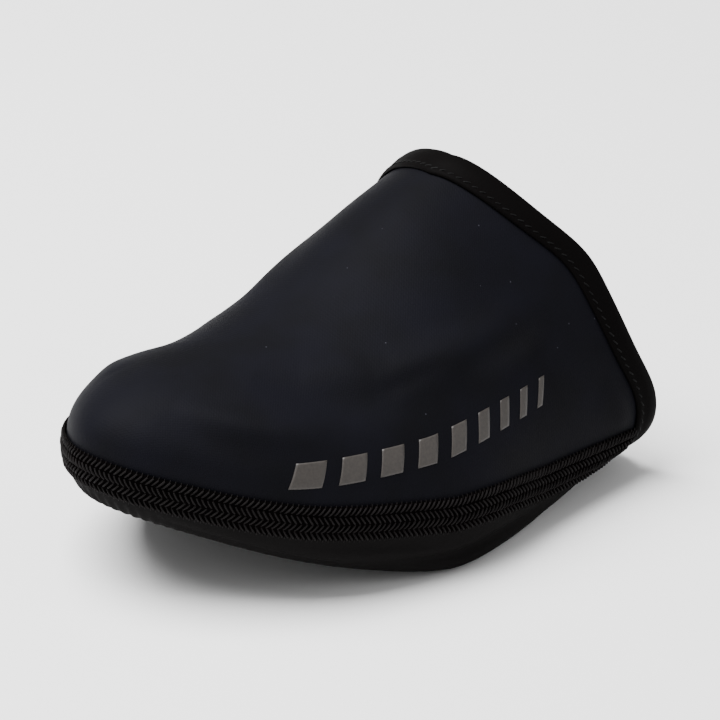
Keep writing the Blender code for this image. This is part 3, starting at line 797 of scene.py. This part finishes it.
# Four rows of loops lean in turn, with short loops over both cut edges.
LOOP_PITCH = 1.4
LOOP_LENGTH = 2.5
LOOP_RADIUS = 0.25
LOOP_BOW = 0.4
LOOP_SINK = 0.1            # depth of a loop's ends in the threads under it
LoopRow = namedtuple("LoopRow", "offset lean size")
LOOP_ROWS = [
    LoopRow(-4.35, 90.0, 0.5),
    LoopRow(-3.3, 50.0, 1.0),
    LoopRow(-1.1, -50.0, 1.0),
    LoopRow(1.1, 50.0, 1.0),
    LoopRow(3.3, -50.0, 1.0),
    LoopRow(4.35, 90.0, 0.5),
]
seam_out = seam_normals.reshape(seam_points.shape)


def seam_line(grid, offset):
    """Line along the seam, at an offset from its middle, through a grid of points or normals."""
    return np.array([[np.interp(offset, seam_offsets, grid[:, c, axis]) for axis in range(3)]
                     for c in range(len(seam_shares))])


flatlock_rows = []
for row in LOOP_ROWS:
    height = GAP + SEAM_THICKNESS * np.interp(row.offset, seam_offsets, SEAM_DOME) - LOOP_SINK
    row_out = seam_line(seam_out, row.offset)
    row_points = seam_line(seam_points, row.offset) + row_out * height
    flatlock_rows.append(Row(row_points, row_out, row.lean, row.size))
loops = sew("toe_cover_flatlock_loops", flatlock_rows, LOOP_PITCH, LOOP_LENGTH, LOOP_RADIUS, LOOP_BOW,
            thread)
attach(loops, "root")


# The collar binding: smooth elastic tape, folded over the shell's edge and sewn through both
# leaves, all the way round the collar and across under the arch.
BINDING_THICKNESS = 0.9
BINDING_NOSE = 1.0
BINDING_DEPTHS = np.linspace(BINDING_WIDTH, 0.0, 9)
BINDING_PUFF = (0.35, 0.85, 0.72, 0.8, 1.0, 1.15, 1.2, 1.1, 1.0)
NOSE_TURNS = np.radians([70.0, 45.0, 20.0, 0.0, -20.0, -45.0, -70.0])
WALL_STATIONS = 90
RAND_STATIONS = 31
UNDER_STATIONS = 60
WALL_BLEND = 4             # stations each way over which the thicker wall runs into the thinner
wall_stations = np.linspace(0.0, 1.0, WALL_STATIONS)
stations = np.concatenate([wall_stations, np.linspace(1.0, 2.0, RAND_STATIONS)[1:]])
binding_shares = BINDING_START + (1.0 - BINDING_START) * (1.0 - BINDING_DEPTHS / BINDING_WIDTH)
tape_rows = []
for share in binding_shares:
    lateral = on_column(-float(share), run_at(-float(share), stations))
    medial = on_column(float(share), run_at(float(share), stations))[::-1]
    between = np.linspace(0.0, 1.0, UNDER_STATIONS + 2)[1:-1, None]
    arch = lateral[-1] + (medial[0] - lateral[-1]) * between
    arch[:, 2] = underside(arch[:, 0])
    tape_rows.append(np.concatenate([lateral, arch, medial[:-1]]))
tape_grid = np.array(tape_rows)
tape_number = np.arange(tape_grid[..., 0].size).reshape(tape_grid.shape[:2])
tape_closed = np.concatenate([tape_number, tape_number[:, :1]], axis=1)
tape_quads = grid_quads(tape_closed)
tape_normals = point_normals(tape_grid.reshape(-1, 3), tape_quads).reshape(tape_grid.shape)
below_seam = np.concatenate([stations > 1.0, np.ones(UNDER_STATIONS, bool), (stations > 1.0)[::-1][:-1]])
tape_wall = np.where(below_seam, SOLE_WALL, UPPER_WALL)
tape_wall = np.concatenate([tape_wall[-WALL_BLEND:], tape_wall, tape_wall[:WALL_BLEND]])
tape_wall = np.convolve(tape_wall, np.ones(2 * WALL_BLEND + 1) / (2 * WALL_BLEND + 1), "valid")
ahead = tape_grid[-1] - tape_grid[-2]
edge_normal = tape_normals[-1]
ahead -= edge_normal * np.sum(ahead * edge_normal, axis=1, keepdims=True)
ahead /= np.linalg.norm(ahead, axis=1, keepdims=True)
middle = tape_grid[-1] - edge_normal * tape_wall[:, None] / 2.0
folded = []
for grow_share, nose in ((1.0, BINDING_NOSE + BINDING_THICKNESS), (0.0, BINDING_NOSE)):
    puff = GAP + BINDING_THICKNESS * grow_share * np.array(BINDING_PUFF)
    rows = [tape_grid[i] + tape_normals[i] * puff[i] for i in range(len(BINDING_DEPTHS))]
    grow = (tape_wall / 2.0 + GAP + BINDING_THICKNESS * grow_share)[:, None]
    rows += [middle + ahead * nose * math.cos(turn) + edge_normal * grow * math.sin(turn)
             for turn in NOSE_TURNS]
    rows += [tape_grid[i] - tape_normals[i] * (tape_wall[:, None] + puff[i])
             for i in reversed(range(len(BINDING_DEPTHS)))]
    folded += rows if grow_share else rows[::-1]
tape = np.array(folded)
tape_number = np.arange(tape[..., 0].size).reshape(tape.shape[:2])
tape_number = np.concatenate([tape_number, tape_number[:, :1]], axis=1)
tape_number = np.concatenate([tape_number, tape_number[:1]], axis=0)
# Elastic tape: smoother than the knit and blacker, with a narrow faint light along its fold.
elastic, tree, shader = new_finish("elastic_nylon_tape", "#070606", Roughness=0.6,
                                   Specular_IOR_Level=0.014)
grainy(tree, shader, width=1.25, detail=2.0, strength=0.3, depth=0.2)
binding = make_piece("toe_cover_binding", tape.reshape(-1, 3), grid_quads(tape_number), [elastic])
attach(binding, "root")
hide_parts("collar_binding")

# One row of slanted stitches runs round the tape, near its front edge.
TAPE_STITCH_LINE = 2
TAPE_PITCH = 2.4
TAPE_STITCH = 1.7
TAPE_THREAD_RADIUS = 0.2
TAPE_BOW = 0.14
TAPE_LEAN = 28.0
TAPE_SINK = 0.05           # depth of a stitch's ends in the tape
tape_out = np.concatenate([tape_normals[TAPE_STITCH_LINE], tape_normals[TAPE_STITCH_LINE][:1]])
tape_line = np.concatenate([tape_grid[TAPE_STITCH_LINE], tape_grid[TAPE_STITCH_LINE][:1]])
tape_line = tape_line + tape_out * (GAP + BINDING_THICKNESS * BINDING_PUFF[TAPE_STITCH_LINE] - TAPE_SINK)
# Spun thread: a shade lighter than the tape, so each stitch is just seen as a small dash.
tape_thread, tree, shader = new_finish("spun_polyester_thread", "#0e0e0e", Roughness=0.6,
                                       Specular_IOR_Level=0.06)
ply = grainy(tree, shader, width=FIBRE_WIDTH, detail=2.0, strength=0.5, depth=0.2)
two_tone(tree, shader, ply, "#0a0a0a", "#131313")
tape_row = sew("toe_cover_binding_stitches", [Row(tape_line, tape_out, TAPE_LEAN, 1.0)], TAPE_PITCH,
               TAPE_STITCH, TAPE_THREAD_RADIUS, TAPE_BOW, tape_thread)
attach(tape_row, "root")


# The hem's stitching: one row of lockstitch in spun thread, sunk in its own groove, which holds
# the turned hem round the opening for the cleat.
HEM_PITCH = 2.8
HEM_STITCH = 2.3
HEM_THREAD_RADIUS = 0.17
HEM_BOW = 0.05
hem_line = ring_points[-2] + np.array([0.0, 0.0, HEM_GROOVE])
hem_line = np.concatenate([hem_line, hem_line[:1]])
hem_out = np.tile([0.0, 0.0, -1.0], (len(hem_line), 1))
hem_row = sew("toe_cover_hem_stitches", [Row(hem_line, hem_out, 0.0, 1.0)], HEM_PITCH, HEM_STITCH,
              HEM_THREAD_RADIUS, HEM_BOW, tape_thread)
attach(hem_row, "root")


# The reflective print: a row of plain slanted bars of bead ink on the little-toe side, a film
# pressed onto the knit.
PRINT_LOW = ((-0.290, 0.845), (-0.785, 0.765))        # places, as a crease's, of the strip's lower ends
PRINT_HIGH = ((-0.296, 0.725), (-0.802, 0.690))
PRINT_WIDTHS = np.linspace(0.100, 0.025, 9)
PRINT_SLANT = 0.03
PRINT_LIFT = 0.12
PRINT_FILM = 0.1
BAR_ROWS = 14
BAR_COLUMNS = 4            # the least that a bar has
STRIP_COLUMNS = 120
print_gap = (1.0 - PRINT_WIDTHS.sum()) / (len(PRINT_WIDTHS) - 1)
print_stops = np.cumsum(PRINT_WIDTHS + print_gap) - print_gap
upward = np.linspace(0.0, 1.0, BAR_ROWS)
film_points = []
film_quads = []
film_count = 0
for start, stop in zip(print_stops - PRINT_WIDTHS, print_stops):
    across = np.linspace(start, stop, max(BAR_COLUMNS, int((stop - start) * STRIP_COLUMNS)))
    bar = np.zeros((len(upward), len(across), 3))
    for i, rise in enumerate(upward):
        for j, part in enumerate(across + PRINT_SLANT * (rise - 0.5)):
            low_place = [a + (b - a) * part for a, b in zip(*PRINT_LOW)]
            high_place = [a + (b - a) * part for a, b in zip(*PRINT_HIGH)]
            share, down = [a + (b - a) * rise for a, b in zip(low_place, high_place)]
            bar[BAR_ROWS - 1 - i, j] = on_column(share, run_at(share, [down]))[0]
    number = np.arange(bar[..., 0].size).reshape(bar.shape[:2])[:, ::-1] + film_count
    film_points.append(bar.reshape(-1, 3))
    film_quads.append(grid_quads(number))
    film_count += number.size
film_points = np.concatenate(film_points)
film_quads = np.concatenate(film_quads)
film_normals = point_normals(film_points, film_quads)
film_lift = crease_height(film_points, UPPER_CREASES) + PRINT_LIFT
# Ink full of fine glass beads: a grainy warm grey, which looks much the same from every side.
BEAD_CLUSTER = 0.6667
ink, tree, shader = new_finish("glass_bead_ink", "#4a4541", Roughness=0.5, Specular_IOR_Level=0.3)
body = add_node(tree, "ShaderNodeTexCoord").outputs["Object"]
beads = add_node(tree, "ShaderNodeTexNoise", inputs={
    "Vector": body, "Scale": 1.0 / (BEAD_CLUSTER * MM), "Detail": 2.0})
two_tone(tree, shader, beads, "#24211f", "#383431")
shell = closed_shell(film_points, film_quads, film_normals, film_lift, PRINT_FILM)
film = make_piece("toe_cover_reflective_bars", shell[0], shell[1], [ink])
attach(film, "root")


# The stage: a pale floor under plain soft studio light, and the camera at the product view.
CAMERA_AZIMUTH = math.radians(-45.11)
CAMERA_ELEVATION = math.radians(25.84)
CAMERA_ROLL = math.radians(1.17)
CAMERA_LENS = 298.5
CAMERA_DISTANCE = 1518.0
CAMERA_TARGET = (80.0, 0.0, 30.0)
CAMERA_ASIDE = 6.1
CAMERA_ABOVE = 8.5
level = Vector((math.cos(CAMERA_AZIMUTH), math.sin(CAMERA_AZIMUTH), 0.0))
ahead = Vector((-math.sin(CAMERA_AZIMUTH), math.cos(CAMERA_AZIMUTH), 0.0))
back = ahead * -math.cos(CAMERA_ELEVATION) + Vector((0.0, 0.0, math.sin(CAMERA_ELEVATION)))
above = back.cross(level)
right = level * math.cos(CAMERA_ROLL) + above * math.sin(CAMERA_ROLL)
up = above * math.cos(CAMERA_ROLL) - level * math.sin(CAMERA_ROLL)
target = Vector(CAMERA_TARGET) - Vector(origin) + right * CAMERA_ASIDE + up * CAMERA_ABOVE
camera_data = bpy.data.cameras.new("camera")
camera_data.sensor_width = 36.0
camera_data.lens = CAMERA_LENS
camera_data.clip_end = 50.0
camera = bpy.data.objects.new("camera", camera_data)
spot = (target + back * CAMERA_DISTANCE) * MM
camera.matrix_world = Matrix.Translation(spot) @ Matrix((right, up, back)).transposed().to_4x4()
bpy.context.scene.collection.objects.link(camera)
bpy.context.scene.camera = camera

# Matt white paper: a plain pale ground that takes a soft shadow.
FLOOR_REACH = 6.0
floor_corners = [(x * FLOOR_REACH, y * FLOOR_REACH, 0.0) for x, y in ((-1, -1), (1, -1), (1, 1), (-1, 1))]
floor_mesh = bpy.data.meshes.new("floor")
floor_mesh.from_pydata(floor_corners, [], [(0, 1, 2, 3)])
paper = new_finish("white_paper_floor", "#f2f2f2", Roughness=0.9, Specular_IOR_Level=0.1)[0]
floor_mesh.materials.append(paper)
floor = bpy.data.objects.new("floor", floor_mesh)
bpy.context.scene.collection.objects.link(floor)

# Two square softboxes aimed at the shoe's middle, in metres and watts, and an even white surround.
Softbox = namedtuple("Softbox", "name place width power")
SOFTBOXES = [
    Softbox("key_softbox", (-0.35, 0.35, 1.2), 1.0, 62.0),
    Softbox("fill_softbox", (0.6, -1.1, 0.7), 0.8, 4.0),
]
SHOE_MIDDLE = (0.0, 0.0, 0.04)
SURROUND = 0.5
for box in SOFTBOXES:
    light = bpy.data.lights.new(box.name, "AREA")
    light.shape = "SQUARE"
    light.size = box.width
    light.energy = box.power
    lamp = bpy.data.objects.new(box.name, light)
    way = (Vector(SHOE_MIDDLE) - Vector(box.place)).to_track_quat("-Z", "Y")
    lamp.matrix_world = Matrix.Translation(box.place) @ way.to_matrix().to_4x4()
    bpy.context.scene.collection.objects.link(lamp)
world = bpy.data.worlds.new("studio")
world.use_nodes = True
world.node_tree.nodes["Background"].inputs["Color"].default_value = linear("#ffffff")
world.node_tree.nodes["Background"].inputs["Strength"].default_value = SURROUND
bpy.context.scene.world = world
